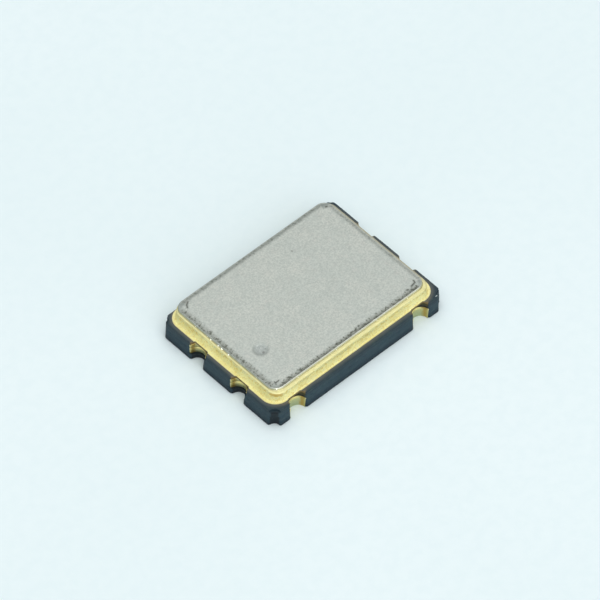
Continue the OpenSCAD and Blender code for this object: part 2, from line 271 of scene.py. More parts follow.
def layer_outline(terminal, test, notches, slip, corner_shades):
    """Points round a layer, from the notch at -X, -Y. Each comes with its side and its place
    along that side, for the cavity to match, with 1 where the layer was punched and 0 where it
    was snapped, and with how dark it is painted there: darker where punched, with painted shade
    in the corner notches."""
    points, keys, punched, shade = [], [], [], []
    for side in range(4):
        long_side = side % 2 == 0
        half, across = (HALF_L, HALF_W) if long_side else (HALF_W, HALF_L)
        centre = TERMINAL_X if long_side else TEST_Y
        radius, depth = terminal if long_side else test
        notch_r = notches[side] * MM
        turn = Matrix.Rotation(side * pi / 2, 2)
        off = slip * (turn @ Vector((1, 0))).y
        for i in range(CORNER_STEPS):
            angle = pi / 2 * (1 - i / CORNER_STEPS)
            place = (-half + notch_r * cos(angle), -across + notch_r * sin(angle))
            points.append(turn @ Vector(place))
            punched.append(1.0)
            shade.append(corner_shades[side])
            share = i / CORNER_STEPS
            if share < 0.5:
                other = across - CORNER_NOTCH_R * (1 - 2 * share)
                keys.append(((side - 1) % 4, other / across))
            else:
                keys.append((side, (-half + CORNER_NOTCH_R * (2 * share - 1)) / half))
        for place, into in side_outline(half, (off - centre, off + centre), radius, depth):
            points.append(turn @ Vector((place, -across + into)))
            punched.append(float(into > 0))
            shade.append(float(into > 0))
            keys.append((side, place / half))
    return np.array(points), keys, np.array(punched), np.array(shade)


def soften(points, times):
    """Rounds the corners of a closed line by averaging each point with its neighbours."""
    for _ in range(times):
        points = points / 2 + (np.roll(points, 1, axis=0) + np.roll(points, -1, axis=0)) / 4
    return points


def right_of(run):
    """Unit vectors to the right of each step of a line."""
    run = run / np.linalg.norm(run, axis=1)[:, None]
    return np.stack([run[:, 1], -run[:, 0]], axis=1)


def line_normals(points):
    """Outward normals of a counter-clockwise closed line."""
    return right_of(np.roll(points, -1, axis=0) - np.roll(points, 1, axis=0))


def cavity_point(key, half_l, half_w, radius):
    """The point of a rounded rectangle that faces a place on the layer's outline."""
    side, place = key
    along_half, out_half = (half_l, half_w) if side % 2 == 0 else (half_w, half_l)
    straight, arc = along_half - radius, pi / 4 * radius
    where = place * (straight + arc)
    turn = Matrix.Rotation(side * pi / 2, 2)
    if abs(where) <= straight:
        return turn @ Vector((where, -out_half))
    angle = (abs(where) - straight) / radius
    x = copysign(straight + radius * sin(angle), where)
    return turn @ Vector((x, -out_half + radius - radius * cos(angle)))


def cap_between(outer, inner):
    """Triangles of a flat face between two closed lines, the second one a hole. They count the
    points of the first line and then those of the second."""
    count = len(outer)
    points = [Vector(p) / MM for p in np.concatenate([outer, inner])]
    lines = [list(range(count)), list(range(count, count + len(inner)))]
    _, _, faces, sources, _, owners = delaunay_2d_cdt(points, [], lines, 1, 1e-7)
    return [tuple(sources[v][0] for v in face) for face, owner in zip(faces, owners)
            if 1 not in owner]


def layer_loops(number, outline, punched, low, high):
    """The skin of one layer as loops from its bottom up, bevelled at both ends into the grooves
    between layers, or into the base's own edges."""
    normals = line_normals(outline)
    along, length = lengths_along(outline)
    first, last = number == 0, number == len(LAYERS) - 1
    foot, foot_in = (FOOT_EDGE, FOOT_EDGE) if first else (LAYER_BEVEL, LAYER_GROOVE)
    head, head_in = (TOP_EDGE, TOP_EDGE) if last else (LAYER_BEVEL, LAYER_GROOVE)
    levels = [
        (low, foot_in), (low + foot * 0.35, foot_in * 0.35), (low + foot, 0),
        ((low + high) / 2, 0),
        (high - head, 0), (high - head * 0.35, head_in * 0.35), (high, head_in),
    ]
    loops = []
    for k, (z, inset) in enumerate(levels):
        rough = wander(along, length, ROUGH_PITCH, 10 * number + k)
        rough = rough + 0.8 * wander(along, length, WAVE_PITCH, 50 + number)
        chips = wander(along, length, CHIP_PITCH, 90 + 10 * number + k) if inset else 0
        shift = -inset * (1 + 0.35 * chips) + (rough - 1) * WALL_ROUGHNESS
        shift = shift + FLARE * (Z_TOP - z) / (Z_TOP - Z_BODY) * (1 - punched)
        loops.append(at_height(outline + normals * np.asarray(shift)[:, None], z))
    return loops


def make_ceramic():
    """The co-fired base as one closed skin: up its four layers, over the top face and down the
    steps of its cavity."""
    loops, shading = [], []
    for number, (low, high, terminal, test, notches, slip) in enumerate(LAYERS):
        shades = TOP_CORNER_SHADES if number == len(LAYERS) - 1 else CORNER_SHADES
        outline, keys, punched, shade = layer_outline(terminal, test, notches, slip, shades)
        made = layer_loops(number, soften(outline, SOFT), soften(punched, 2), low, high)
        loops += made
        shading += [soften(shade, 2)] * len(made)
    walls, count = len(loops), len(keys)
    cavity = RING_HALF - Vector((RING_WALL, RING_WALL)) - CAVITY_MARGIN
    pit = Vector((PIT_HI.x, PIT_HI.y)) + Vector((PIT_GAP, PIT_GAP))
    well = Vector((cavity.x - CRYSTAL_SHELF, FINGER_HI.y + FINGER_GAP))
    steps = [
        (cavity, CAVITY_R, Z_TOP), (cavity, CAVITY_R, Z_SHELF),
        (well, CAVITY_R, Z_SHELF), (well, CAVITY_R, Z_FINGER),
        (pit, PIT_R, Z_FINGER), (pit, PIT_R, Z_FLOOR),
    ]
    for half, radius, z in steps:
        ring = np.array([cavity_point(key, half.x, half.y, radius) for key in keys])
        loops.append(at_height(ring, z))
    faces = loop_faces(walls, count)
    start = (walls - 1) * count
    faces += [tuple(start + v for v in face)
              for face in cap_between(loops[walls - 1][:, :2], loops[walls][:, :2])]
    faces += [tuple(walls * count + v for v in face) for face in loop_faces(len(steps), count)]
    faces += end_caps(len(loops), count)
    base = new_piece("ceramic_package", np.concatenate(loops), faces)
    # the values named punched: darker on punched walls, with painted shade in the corner
    # notches, most at -X -Y
    add_value(base, "punched", np.concatenate(shading + [np.zeros(count)] * len(steps)))
    return base


# ---------- plated castellations ----------

EDGE_DIP = 22 * UM  # how uneven the upper edge of the plating is
SWELL = 0.25  # how much its thickness varies
MOUTH_STEPS = 6  # points of the wall beside a castellation
SKIN_ENDS = 1  # points of a plated skin beyond the castellation's own
SHORT_END = -3  # and at the near end of a test pad, which the plating doesn't reach
SUNK = 6 * UM  # how far a skin's back lies inside the ceramic
NARROW_LEVELS = 6  # levels of a test pad's skin that lie on the narrower layer
PAD_R = 0.06 * MM
PAD_FOOT = 0.01 * MM  # how far inside the ceramic's edge a pad's outer edge turns
CORNERS = [(-1, -1), (1, -1), (1, 1), (-1, 1)]  # where the four of a kind are, by their numbers


def notch_line(radius, first, last):
    """A castellation's wall and its normals out of the ceramic, rounded as the ceramic's is.
    +Y points into the ceramic."""
    beside = np.arange(1, MOUTH_STEPS + 1)[:, None] * [CERAMIC_STEP, 0]
    angles = pi * (1 - np.arange(NOTCH_STEPS + 1) / NOTCH_STEPS)
    arc = radius * np.stack([np.cos(angles), np.sin(angles)], axis=1)
    line = np.concatenate([arc[0] - beside[::-1], arc, arc[-1] + beside])
    for _ in range(SOFT):
        line[1:-1] = line[1:-1] / 2 + (line[:-2] + line[2:]) / 4
    keep = slice(MOUTH_STEPS - first, len(line) - MOUTH_STEPS + last)
    return line[keep], right_of(np.gradient(line, axis=0))[keep]


def half_barrel(levels, first, last, seed):
    """Closed loops of a plated skin on the wall of a castellation. levels are (height, radius
    of the wall there, thickness of the skin), up to the uneven upper edge. first and last are
    how many points the skin reaches past the castellation at local -X and +X."""
    lines = {radius: notch_line(radius, first, last) for _, radius, _ in levels}
    count = len(lines[levels[0][1]][0])
    bottom, top = levels[0][0], levels[-1][0]
    loops = []
    for i in range(count):
        taper = ramp_between(min(i, count - 1 - i), -1, 2)
        swell = 1 + SWELL * wander([i], count, 3, seed)[0]
        dip = EDGE_DIP * (1 + wander([i], count, 5, seed + 40)[0]) / 2
        place = lambda radius, out: lines[radius][0][i] + lines[radius][1][i] * out
        loop = [(*place(levels[0][1], -SUNK), bottom)]
        for z, radius, thick in levels:
            drop = dip * ((z - bottom) / (top - bottom)) ** 4
            loop.append((*place(radius, thick * taper * swell), z - drop))
        loop.append((*place(levels[-1][1], -SUNK), top - dip))
        loops.append(loop)
    return np.array(loops)


def barrel_mesh(loops):
    """Vertices and faces of a half-round: its skin and its two end caps."""
    count, points = len(loops), len(loops[0])
    faces = loop_faces(count, points) + end_caps(count, points)
    return loops.reshape(-1, 3), faces


def end_values(loops, shaded_end):
    """Place of each point between a half-round's two ends, from -1 to 1 at the end that gets
    the painted shade. The second argument is 1 or -1 for that end at local +X or -X."""
    count, points = len(loops), len(loops[0])
    return np.repeat(np.clip(np.linspace(-1.1, 1.1, count), -1, 1) * shaded_end, points)


def pad_mesh(length, width, notch_r, thickness, steps=24):
    """A printed solder pad with rounded edges and the castellation's half-round cut out."""
    line = [(-notch_r * cos(pi * i / steps), notch_r * sin(pi * i / steps))
            for i in range(steps + 1)]
    line.append((length / 2, PAD_FOOT))
    for x, start in ((length / 2 - PAD_R, 0), (-length / 2 + PAD_R, 1)):
        for i in range(7):
            angle = pi / 2 * (start + i / 6)
            line.append((x + PAD_R * cos(angle), width - PAD_R + PAD_R * sin(angle)))
    line.append((-length / 2, PAD_FOOT))
    points = np.array(line)
    normals = line_normals(points)
    bevel = thickness * 0.35
    loops = [at_height(points - normals * inset, z) for z, inset in (
        (thickness, 0), (bevel, 0), (bevel * 0.3, bevel * 0.5), (0, bevel * 1.6))]
    count = len(points)
    faces = [tuple(reversed(f)) for f in loop_faces(len(loops), count)]
    faces.append(range(count))
    faces.append(range(len(loops) * count - 1, (len(loops) - 1) * count - 1, -1))
    return np.concatenate(loops), faces


def join_meshes(parts):
    """One list of vertices and faces from several."""
    vertices, faces, start = [], [], 0
    for points, polygons in parts:
        vertices.append(points)
        faces += [tuple(start + i for i in f) for f in polygons]
        start += len(points)
    return np.concatenate(vertices), faces


def set_down(stem, n, vertices, faces, end, place, turn, slide=0.0):
    """Plated piece n of its kind, turned about Z, set down at its place and moved along Y."""
    c, s = cos(turn), sin(turn)
    moved = np.array(vertices, float)
    moved[:, 0] = vertices[:, 0] * c - vertices[:, 1] * s + place[0]
    moved[:, 1] = vertices[:, 0] * s + vertices[:, 1] * c + place[1]
    moved[:, 1] += slide
    piece = new_piece(f"{stem}_plating_{n + 1}", moved, faces)
    add_value(piece, "end", end)
    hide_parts(f"{stem}_{n + 1}")
    return piece


def make_terminals():
    """The four solder pads with their plated half-rounds."""
    top, r = Z_FINGER, TERMINAL_R
    levels = [
        (0.004 * MM, r, PLATING), (0.03 * MM, r, PLATING), (0.2 * MM, r, PLATING),
        (top - 0.07 * MM, r, PLATING), (top - 0.035 * MM, r, PLATING + 6 * UM),
        (top - 0.016 * MM, r, PLATING + 7 * UM), (top - 0.004 * MM, r, PLATING),
        (top, r, PLATING / 2),
    ]
    size = TERMINAL_HI - TERMINAL_LO
    pad = pad_mesh(size.x, size.y, TERMINAL_R - PLATING, TERMINAL_LO.z + Z_BODY)
    pieces = []
    for n in range(4):
        x, y, turn = CORNERS[n][0] * TERMINAL_X, CORNERS[n][1] * HALF_W, 0 if n < 2 else pi
        loops = half_barrel(levels, SKIN_ENDS, SKIN_ENDS, 200 + n)
        mesh = join_meshes([barrel_mesh(loops), pad])
        end = np.concatenate([end_values(loops, 1), np.zeros(len(pad[0]))])
        pieces.append(set_down("terminal", n, *mesh, end, (x, y), turn))
    return pieces


def make_test_pads():
    """The four plated half-rounds of the short sides, over two layers with a ledge between."""
    low, ledge, top = TEST_LO.z, Z_FINGER, TEST_HI.z
    wide, narrow = TEST_R, TEST_PLATED_R
    levels = [
        (low, narrow, PLATING), (low + 0.02 * MM, narrow, PLATING),
        (ledge - 0.05 * MM, narrow, PLATING), (ledge - 0.022 * MM, narrow, PLATING + 5 * UM),
        (ledge - 0.006 * MM, narrow, PLATING), (ledge, narrow, PLATING / 2),
        (ledge + 0.002 * MM, wide, PLATING * 0.7), (ledge + 0.03 * MM, wide, PLATING * 0.8),
        (top - 0.04 * MM, wide, PLATING), (top - 0.012 * MM, wide, PLATING * 0.8),
        (top - 0.001 * MM, wide, PLATING * 0.3),
    ]
    pieces = []
    for n, (across, along) in enumerate(CORNERS):
        ends = (SKIN_ENDS, SHORT_END) if across < 0 else (SHORT_END, SKIN_ENDS)
        loops = half_barrel(levels, *ends, 220 + n)
        on_narrow = np.tile(np.arange(len(loops[0])) <= NARROW_LEVELS, len(loops))
        pieces.append(set_down("test_pad", n, *barrel_mesh(loops), end_values(loops, across),
                               (across * HALF_L, along * TEST_Y), across * pi / 2,
                               LAYERS[1][-1] * on_narrow))
    return pieces


# ---------- ring and braze ----------

LOOP_STEP = 0.028 * MM


def sweep(name, profile, wobble):
    """A closed profile swept round the ring's outline. profile is (outward, height) for each
    corner of it, and wobble(k, share) moves corner k outward and upward, where share is how far
    round the outline a point lies."""
    n_long = int(2 * (RING_HALF.x - RING_R) / LOOP_STEP)
    n_short = int(2 * (RING_HALF.y - RING_R) / LOOP_STEP)
    loops = []
    for k, (out, z) in enumerate(profile):
        radius = max(RING_R + out, 0.05 * MM)
        points, normals = rounded_loop(RING_HALF.x + out, RING_HALF.y + out, radius, n_long,
                                       n_short)
        along, length = lengths_along(points)
        push, lift = wobble(k, along / length)
        moved = points + normals * np.asarray(push)[:, None]
        loops.append(np.column_stack([moved[:, 0], moved[:, 1] + RING_Y, z + np.asarray(lift)]))
    faces = loop_faces(len(loops), len(loops[0]), closed=True)
    return new_piece(name, np.concatenate(loops), faces)


RING_LENGTH = 4 * (RING_HALF.x + RING_HALF.y)
RING_EDGE = 46 * UM
HAMMER = 3.0 * UM  # unevenness of the plated wall
HAMMER_PITCH, HAMMER_WAVE = 0.16 * MM, 0.42 * MM


def make_ring():
    """The seal ring: a wall with an uneven plated skin, rounded at its top edge."""
    low, high = RING_LO.z, RING_HI.z
    heights = np.linspace(low + 0.012 * MM, high - RING_EDGE, 9)
    profile = [(-0.010 * MM, low)] + [(0.0, z) for z in heights]
    for i in range(1, 8):
        angle = pi / 2 * i / 7
        profile.append((RING_EDGE * (cos(angle) - 1),
                        high - RING_EDGE * (1 - sin(angle))))
    profile += [(-0.075 * MM, high), (-0.11 * MM, high), (-0.2 * MM, high)]
    inner = -RING_WALL
    profile += [(inner + 0.02 * MM, high), (inner, high - 0.02 * MM), (inner, low),
                (inner / 2, low)]
    last_wall, first_top = len(heights), len(heights) + 8

    def wobble(k, share):
        along = share * RING_LENGTH
        push = np.zeros(len(share))
        if 1 <= k <= last_wall + 2:
            z = profile[k][1]
            push = HAMMER * patches(along, z + 0 * along, HAMMER_PITCH, 300)
            push = push + HAMMER * 0.8 * patches(along, 2.5 * z + 0 * along, HAMMER_WAVE, 301)
            push = push - HAMMER * 1.6
        lift = np.zeros(len(share))
        if last_wall < k < first_top + 2:
            lift = -2.0 * UM * (1 + wander(along, RING_LENGTH, 0.2 * MM, 310 + k))
        return push, lift

    return sweep("seal_frame", profile, wobble)


BRAZE_REACH = BRAZE_HI.x - RING_HI.x
BRAZE_CLIMB = BRAZE_REACH * 3.0
BRAZE_TOE = 3 * UM  # height of the meniscus where it ends on the print
BRAZE_STEPS = 12


def make_braze():
    """Braze under the ring and the meniscus that runs down its wall onto the print."""
    low, film = BRAZE_LO.z, RING_LO.z
    profile = [(BRAZE_REACH, low), (BRAZE_REACH, low + BRAZE_TOE)]
    for i in range(1, BRAZE_STEPS + 1):
        angle = pi / 2 * i / BRAZE_STEPS
        profile.append((BRAZE_REACH * (1 - sin(angle)),
                        low + BRAZE_TOE + BRAZE_CLIMB * (1 - cos(angle))))
    profile += [(-8 * UM, low + BRAZE_CLIMB + 4 * UM), (-8 * UM, film), (-RING_WALL, film),
                (-RING_WALL, low)]
    last = BRAZE_STEPS + 2

    def wobble(k, share):
        along = share * RING_LENGTH
        wave = wander(along, RING_LENGTH, 0.35 * MM, 330)
        ripple = wander(along, RING_LENGTH, 0.12 * MM, 331)
        reach = 0.16 * wave + 0.08 * ripple if k < last else 0 * share
        climb = 0.28 * wander(along, RING_LENGTH, 0.3 * MM, 332) + 0.12 * ripple
        lift = climb * (profile[k][1] - low) if k <= last else 0 * share
        return reach * max(profile[k][0], 0), lift

    return sweep("braze_meniscus", profile, wobble)


# ---------- lid ----------

LID_HALF = Vector(((LID_HI.x - LID_LO.x) / 2, (LID_HI.y - LID_LO.y) / 2))
LID_CENTRE = Vector(((LID_HI.x + LID_LO.x) / 2, (LID_HI.y + LID_LO.y) / 2))
LID_STEP = 0.026 * MM
LID_EDGE = 34 * UM
FILLET = 18 * UM  # solder that crept up the foot of the lid's wall
RIM_WIDTH = 0.15 * MM  # the edge that the weld wheels pressed down
RIM_DROP = 14 * UM
RIPPLE = 2.2 * UM
CLEAR = 2.6 * UM  # keeps the highest unevenness under the lid's nominal top
RELIEF_WIDTH = 0.36 * MM
CORNER_R_MIN = 0.03 * MM
TRACKS = [  # direction, darkness of the weld track (partly painted shade of the pressed-down rim) and its reach, strength of the painted highlight on the edge, painted shade on the wall's foot
    ((0, -1), 0.85, 0.150 * MM, 0.8, 0.1),
    ((1, 0), 0.36, 0.105 * MM, 0.2, 0.8),
    ((0, 1), 0.66, 0.140 * MM, 0.1, 0.5),
    ((-1, 0), 0.66, 0.165 * MM, 0.15, 0.0),
]
SMEARS = [  # direction, how grey the edge is there, how free of hairs and how wide the grey is
    ((1, -1), 0.85, 1.0, 0.17), ((1, 1), 0.85, 0.85, 0.26), ((-1, 1), 0.8, 1.0, 0.17),
    ((-1, -1), 0.5, 0.0, 0.22), ((0, 1), 0.3, 0.3, 0.20),
]
BURRS = [  # dents where weld tracks cross: both ends from the lid's centre and width, in mm
    (-2.69, 2.075, -2.80, 2.01, 0.028), (-2.80, 2.01, -2.86, 1.91, 0.026),
    (2.87, -1.995, 2.892, -1.915, 0.030), (2.87, -1.995, 2.70, -2.03, 0.034),
    (-2.88, -1.99, -2.74, -1.985, 0.026), (-2.88, -1.99, -2.87, -1.94, 0.024),
    (2.925, 1.985, 2.955, 1.968, 0.030), (0.97, 1.405, 0.972, 1.40, 0.026),
    (0.45, -2.075, 0.46, -2.07, 0.036), (2.48, -2.05, 2.52, -2.06, 0.034),
]
MARK_GLINTS_AND_SHADE = [  # in the recess: place in mm from its centre, radius in mm, how light; light ones are painted highlights, dark ones darker spots, the largest painted shade on its near side; each also raises or sinks the surface a little
    (0.013, 0.17, 0.017, 0.8), (-0.10, 0.14, 0.014, 0.5), (0.038, 0.032, 0.018, 0.9),
    (-0.05, 0.09, 0.014, 0.4), (0.09, 0.13, 0.026, -0.5), (-0.01, -0.14, 0.055, -0.6),
    (0.12, -0.08, 0.04, -0.4), (-0.13, -0.03, 0.03, -0.35), (0.0, 0.21, 0.012, -0.4),
]


def dents(x, y, strokes):
    """How deep each point lies in any of several short strokes, from 0 to 1."""
    deep = np.zeros(len(x))
    for stroke in strokes:
        x0, y0, x1, y1, width = (value * MM for value in stroke)
        dx, dy = x1 - x0, y1 - y0
        share = np.clip(((x - x0) * dx + (y - y0) * dy) / (dx * dx + dy * dy), 0, 1)
        off = np.hypot(x - x0 - share * dx, y - y0 - share * dy)
        deep = np.maximum(deep, np.exp(-((off / width) ** 2)))
    return deep


def mark_relief(x, y):
    """The recess that marks terminal 1: depth, strength of its border, which carries painted
    shade, and its specks, which carry painted highlights and painted shade.
    """
    mx, my = x + LID_HALF.x - MARK_FROM_END, y + MARK_FROM_MIDDLE
    distance = np.hypot(mx, my)
    recess = 1 - ramp_between(distance, MARK_R * 0.60, MARK_R * 1.06)
    border = np.exp(-(((distance - MARK_R * 0.90) / (0.045 * MM)) ** 2))
    glints_and_shade = np.zeros(len(x))
    for sx, sy, radius, light in MARK_GLINTS_AND_SHADE:
        off = np.hypot(mx - sx * MM, my - sy * MM) / (radius * MM)
        glints_and_shade += light * np.exp(-(off ** 2))
    return recess, border, glints_and_shade


def lid_profile():
    """Inset and height of each loop, from the foot of the lid's wall to its flat top."""
    low, shoulder = LID_LO.z, LID_HI.z - RIM_DROP
    line = [(-FILLET, low), (-FILLET * 0.35, low + 7 * UM), (-FILLET * 0.08, low + 17 * UM),
            (0.0, low + 30 * UM), (0.0, shoulder - LID_EDGE)]
    for i in range(1, 6):
        angle = pi / 2 * i / 5
        line.append((LID_EDGE * (1 - cos(angle)), shoulder - LID_EDGE * (1 - sin(angle))))
    edge = len(line)
    while line[-1][0] < RELIEF_WIDTH:
        line.append((line[-1][0] + (0.012 if line[-1][0] < 0.1 * MM else 0.018) * MM, LID_HI.z))
    return line, edge


def make_lid():
    """The lid: an even plate whose edge the weld wheels pressed down, with their ripples, the
    burrs at the corners and the recess that marks terminal 1."""
    line, edge = lid_profile()
    n_long = int(2 * (LID_HALF.x - LID_R) / LID_STEP)
    n_short = int(2 * (LID_HALF.y - LID_R) / LID_STEP)
    loops = []
    for inset, z in line:
        radius = max(LID_R - inset, CORNER_R_MIN)
        points, normals = rounded_loop(LID_HALF.x - inset, LID_HALF.y - inset, radius, n_long,
                                       n_short)
        loops.append(at_height(points, z))
    count = len(loops[0])
    faces = loop_faces(len(loops), count)
    core_x = LID_HALF.x - line[-1][0] - CORNER_R_MIN
    core_y = LID_HALF.y - line[-1][0] - CORNER_R_MIN
    gx, gy = np.meshgrid(np.linspace(-core_x, core_x, n_long + 1),
                         np.linspace(-core_y, core_y, n_short + 1))
    core = np.column_stack([gx.ravel(), gy.ravel(), np.full(gx.size, LID_HI.z)])
    start, last = len(loops) * count, (len(loops) - 1) * count
    cell = lambda i, j: start + j * (n_long + 1) + i
    for j in range(n_short):
        for i in range(n_long):
            faces.append((cell(i, j), cell(i + 1, j), cell(i + 1, j + 1), cell(i, j + 1)))
    faces += core_joins(last, count, cell, n_long, n_short)
    faces.append(range(count - 1, -1, -1))

    blank = np.zeros(len(core))
    spread = lambda values: np.concatenate([np.tile(values, len(loops)), blank])
    inward = np.concatenate([np.full(count, inset) for inset, _ in line] + [blank + 1 * MM])
    along, length = lengths_along(loops[edge][:, :2])
    turn, reel = along / length * 2 * pi, length / (2 * pi)
    # per side: darkness of the weld track, partly painted shade; strength of the painted
    # highlight on the edge; painted shade on the wall's foot
    facing = [np.maximum(normals @ np.array(out), 0) ** 2 for out, *_ in TRACKS]
    dark, reach, edge_highlight, wall_shade = (sum(w * row[k] for w, row in zip(facing, TRACKS))
                                 for k in (1, 2, 3, 4))
    aimed = [ramp_between(normals @ Vector(out).normalized(), 0.80, 0.97) for out, *_ in SMEARS]
    grey, calm = (sum(w * row[k] for w, row in zip(aimed, SMEARS)) for k in (1, 2))
    width = sum(w * row[3] * MM for w, row in zip(aimed, SMEARS)) + 0.001 * MM

    vertices = np.concatenate(loops + [core])
    x, y = vertices[:, 0], vertices[:, 1]
    burr = dents(x, y, BURRS)
    recess, border, glints_and_shade = mark_relief(x, y)
    on_top = np.concatenate([np.zeros(edge * count), np.ones(len(vertices) - edge * count)])
    rim = 1 - ramp_between(inward, LID_EDGE, RIM_WIDTH + LID_EDGE)
    track = 1 - ramp_between(inward, 0.1 * MM, 0.22 * MM)
    ripple = spread(wander(along, length, 0.055 * MM, 400)) - 1
    relief = -RIM_DROP * rim ** 1.5 + RIPPLE * track * ripple - 5 * UM * burr
    relief -= MARK_DEPTH * recess - 2.0 * UM * glints_and_shade * recess
    uneven = 1.6 * patches(x, y, 0.9 * MM, 420) + 0.6 * patches(x, y, 0.2 * MM, 421)
    relief += UM * uneven * (1 - rim) - CLEAR
    vertices[:, 2] += relief * on_top
    vertices[:, 0] += LID_CENTRE.x
    vertices[:, 1] += LID_CENTRE.y
    lid = new_piece("lid_plate", vertices, faces)
    for name, values in [
        ("inward", inward), ("round_x", spread(reel * np.cos(turn))),
        ("round_y", spread(reel * np.sin(turn))), ("dark", spread(dark)),
        ("reach", spread(reach) + (inward > RELIEF_WIDTH * 2) * MM), ("edge_highlight", spread(edge_highlight)),
        ("wall_shade", spread(wall_shade)), ("grey", spread(grey)), ("calm", spread(calm)),
        ("width", spread(width) + 0.001 * MM),
        ("burr", burr * on_top), ("recess", recess), ("border", border), ("glints_and_shade", glints_and_shade),
        ("wall", 1 - ramp_between(vertices[:, 2], LID_LO.z + 10 * UM, LID_LO.z + 40 * UM)),
    ]:
        add_value(lid, name, values)
    return lid


def core_joins(last, count, cell, n_long, n_short):
    """Faces between the innermost loop of the lid and the grid inside it."""
    faces, at = [], 0
    corners = [(0, 0), (n_long, 0), (n_long, n_short), (0, n_short)]
    directions = [(1, 0), (0, 1), (-1, 0), (0, -1)]
    for side in range(4):
        (ci, cj), (di, dj) = corners[side], directions[side]
        for i in range(n_long if side % 2 == 0 else n_short):
            here, there = last + at, last + (at + 1) % count
            faces.append((here, there, cell(ci + di * (i + 1), cj + dj * (i + 1)),
                          cell(ci + di * i, cj + dj * i)))
            at += 1
        ni, nj = corners[(side + 1) % 4]
        for _ in range(ARC_STEPS):
            faces.append((last + at, last + (at + 1) % count, cell(ni, nj)))
            at += 1
    return faces


BEADS = [  # place along the lid's left side (0) or front side (1), and radius, in mm
    (0, 0.576, 0.034), (0, 0.254, 0.036), (0, 0.095, 0.042), (0, -0.208, 0.032),
    (0, 0.73, 0.016), (0, -0.75, 0.014), (0, 1.25, 0.013), (0, -1.42, 0.015), (0, -0.43, 0.012),
    (1, -2.20, 0.016), (1, -0.62, 0.013), (1, 1.05, 0.014), (1, 2.32, 0.013),
]
CORNER_BEAD = (radians(232), 1.09 * MM, 27 * UM)  # direction, height and radius
BEAD_FACE = Vector((-0.23, -0.24, 0.94))  # the flat side of a splash
BEAD_FLAT = 0.3  # thickness of a splash by its width


def dome(radius, rings=4, sides=10):
    """Vertices and faces of a ball."""
    vertices, faces = [(0, 0, -radius)], []
    for k in range(1, 2 * rings):
        tilt = pi * k / (2 * rings)
        for i in range(sides):
            angle = 2 * pi * i / sides
            vertices.append((radius * sin(tilt) * cos(angle),
                             radius * sin(tilt) * sin(angle),
                             -radius * cos(tilt)))
    vertices.append((0, 0, radius))
    count, top = 2 * rings - 1, len(vertices) - 1
    for i in range(sides):
        j = (i + 1) % sides
        faces.append((0, 1 + j, 1 + i))
        for k in range(count - 1):
            here, there = 1 + k * sides, 1 + (k + 1) * sides
            faces.append((here + i, here + j, there + j, there + i))
        last = 1 + (count - 1) * sides
        faces.append((last + i, last + j, top))
    return np.array(vertices), faces


def make_beads():
    """Droplets that the weld left at the foot of the lid's wall and one on its front corner."""
    foot = LID_LO.z + 22 * UM
    rng = np.random.default_rng(SEED + 450)
    parts = []
    for side, place, radius in BEADS:
        x, y = (-LID_HALF.x, place * MM) if side == 0 else (place * MM, -LID_HALF.y)
        parts.append((x + LID_CENTRE.x, y + LID_CENTRE.y, foot, radius * MM))
    angle, z, radius = CORNER_BEAD
    corner = Vector((-LID_HALF.x + LID_R, -LID_HALF.y + LID_R)) + LID_CENTRE
    parts.append((corner.x + LID_R * cos(angle), corner.y + LID_R * sin(angle), z,
                  radius))
    meshes = []
    for x, y, z, radius in parts:
        vertices, faces = dome(radius)
        squeeze = rng.uniform(0.8, 1.2, 3) * (1, 1, BEAD_FLAT)
        tilt = Vector((0, 0, 1)).rotation_difference(BEAD_FACE).to_matrix()
        meshes.append(((vertices * squeeze) @ np.array(tilt).T + np.array([x, y, z]), faces))
    return new_piece("weld_beads", *join_meshes(meshes), sharp_angle=80)


# ---------- materials ----------

MIX_A, MIX_B, MIX_RESULT = 6, 7, 2  # the colour sockets of a Mix node


